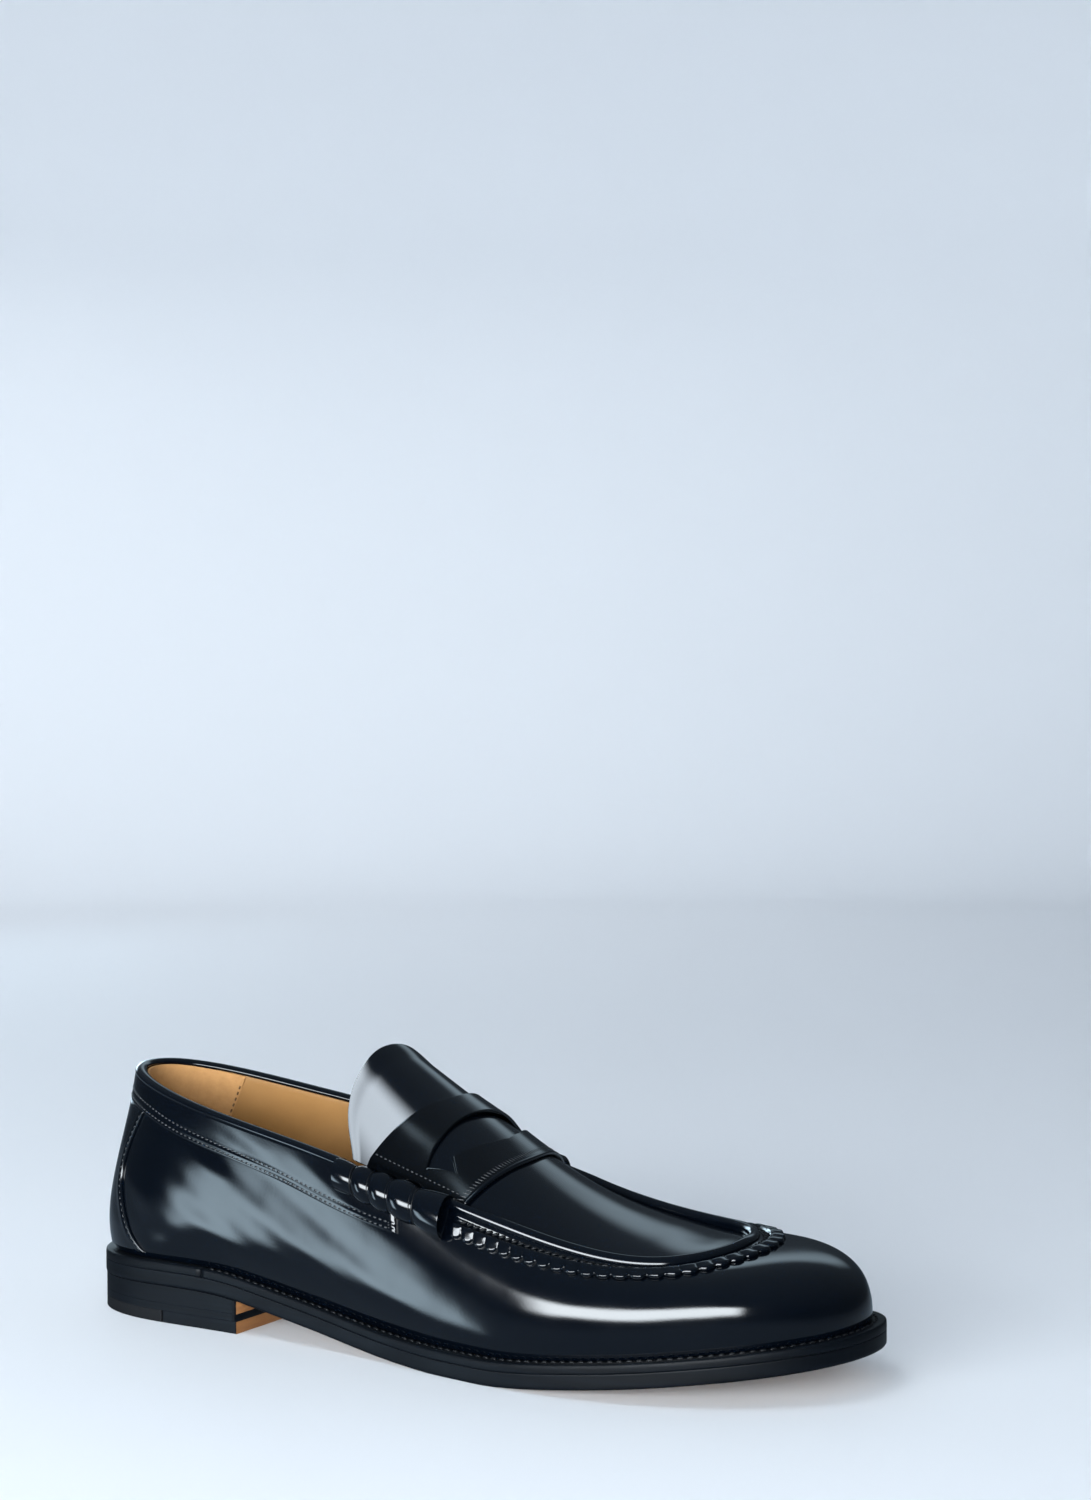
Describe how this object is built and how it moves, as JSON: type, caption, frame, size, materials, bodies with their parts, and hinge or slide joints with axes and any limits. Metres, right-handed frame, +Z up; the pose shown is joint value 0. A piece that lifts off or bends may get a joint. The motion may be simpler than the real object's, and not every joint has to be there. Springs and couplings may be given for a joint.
{
  "type": "penny loafer",
  "caption": "Right penny loafer in glossy black leather with scalloped apron seam, slotted saddle strap, beef rolls, tan lining and low stacked heel",
  "frame": {"origin": "centre of the footprint on the ground, under the shoe", "axes": "+X toe, +Y medial (big toe) side, +Z up"},
  "size_m": [0.3041, 0.1036, 0.1002],
  "materials": {
    "sole_edge": "matte",
    "thread": "matte",
    "stacked_leather": "matte",
    "heel_rubber": "matte",
    "nail_brass": "satin",
    "cork": "matte",
    "shank_steel": "satin",
    "insole_leather": "matte",
    "lining": "satin",
    "heel_grip": "matte",
    "puff_fabric": "matte",
    "upper_leather": "glossy",
    "lining_thread": "matte"
  },
  "bodies": {
    "shoe": {"outsole": "sole_edge", "welt": "sole_edge", "heel_seat_rand": "sole_edge", "welt_stitching": "thread", "heel_lift_upper": "stacked_leather", "heel_lift_lower": "sole_edge", "top_piece_leather": "stacked_leather", "top_piece_rubber": "heel_rubber", "heel_nails": "nail_brass", "cork_filler": "cork", "shank": "shank_steel", "insole": "insole_leather", "sock_liner": "lining", "heel_counter": "insole_leather", "toe_puff": "puff_fabric", "side_stiffener_lateral": "puff_fabric", "side_stiffener_medial": "puff_fabric", "vamp_and_quarters": "upper_leather", "collar_band": "upper_leather", "collar_stitching": "thread", "topline_piping": "upper_leather", "back_strip": "upper_leather", "back_strip_stitching": "thread", "apron": "upper_leather", "apron_lining": "lining", "apron_piping": "upper_leather", "scalloped_trim": "upper_leather", "apron_stitching": "thread", "saddle_strap": "upper_leather", "strap_stitching": "thread", "beefroll_lateral": "upper_leather", "beefroll_medial": "upper_leather", "beefroll_windings": "thread", "quarter_lining_lateral": "lining", "quarter_lining_medial": "lining", "heel_grip": "heel_grip", "vamp_lining": "lining", "lining_stitching": "lining_thread"},
    "tongue_flap": {"tongue": "upper_leather", "tongue_lining": "lining"}
  },
  "joints": [
    {"name": "tongue_flex", "type": "hinge", "parent": "shoe", "child": "tongue_flap", "pos_m": [-0.0042, 0, 0.0824], "axis": [0, 1, 0], "range_deg": [-4, 16], "stiffness_Nm_per_rad": 0.2}
  ]
}
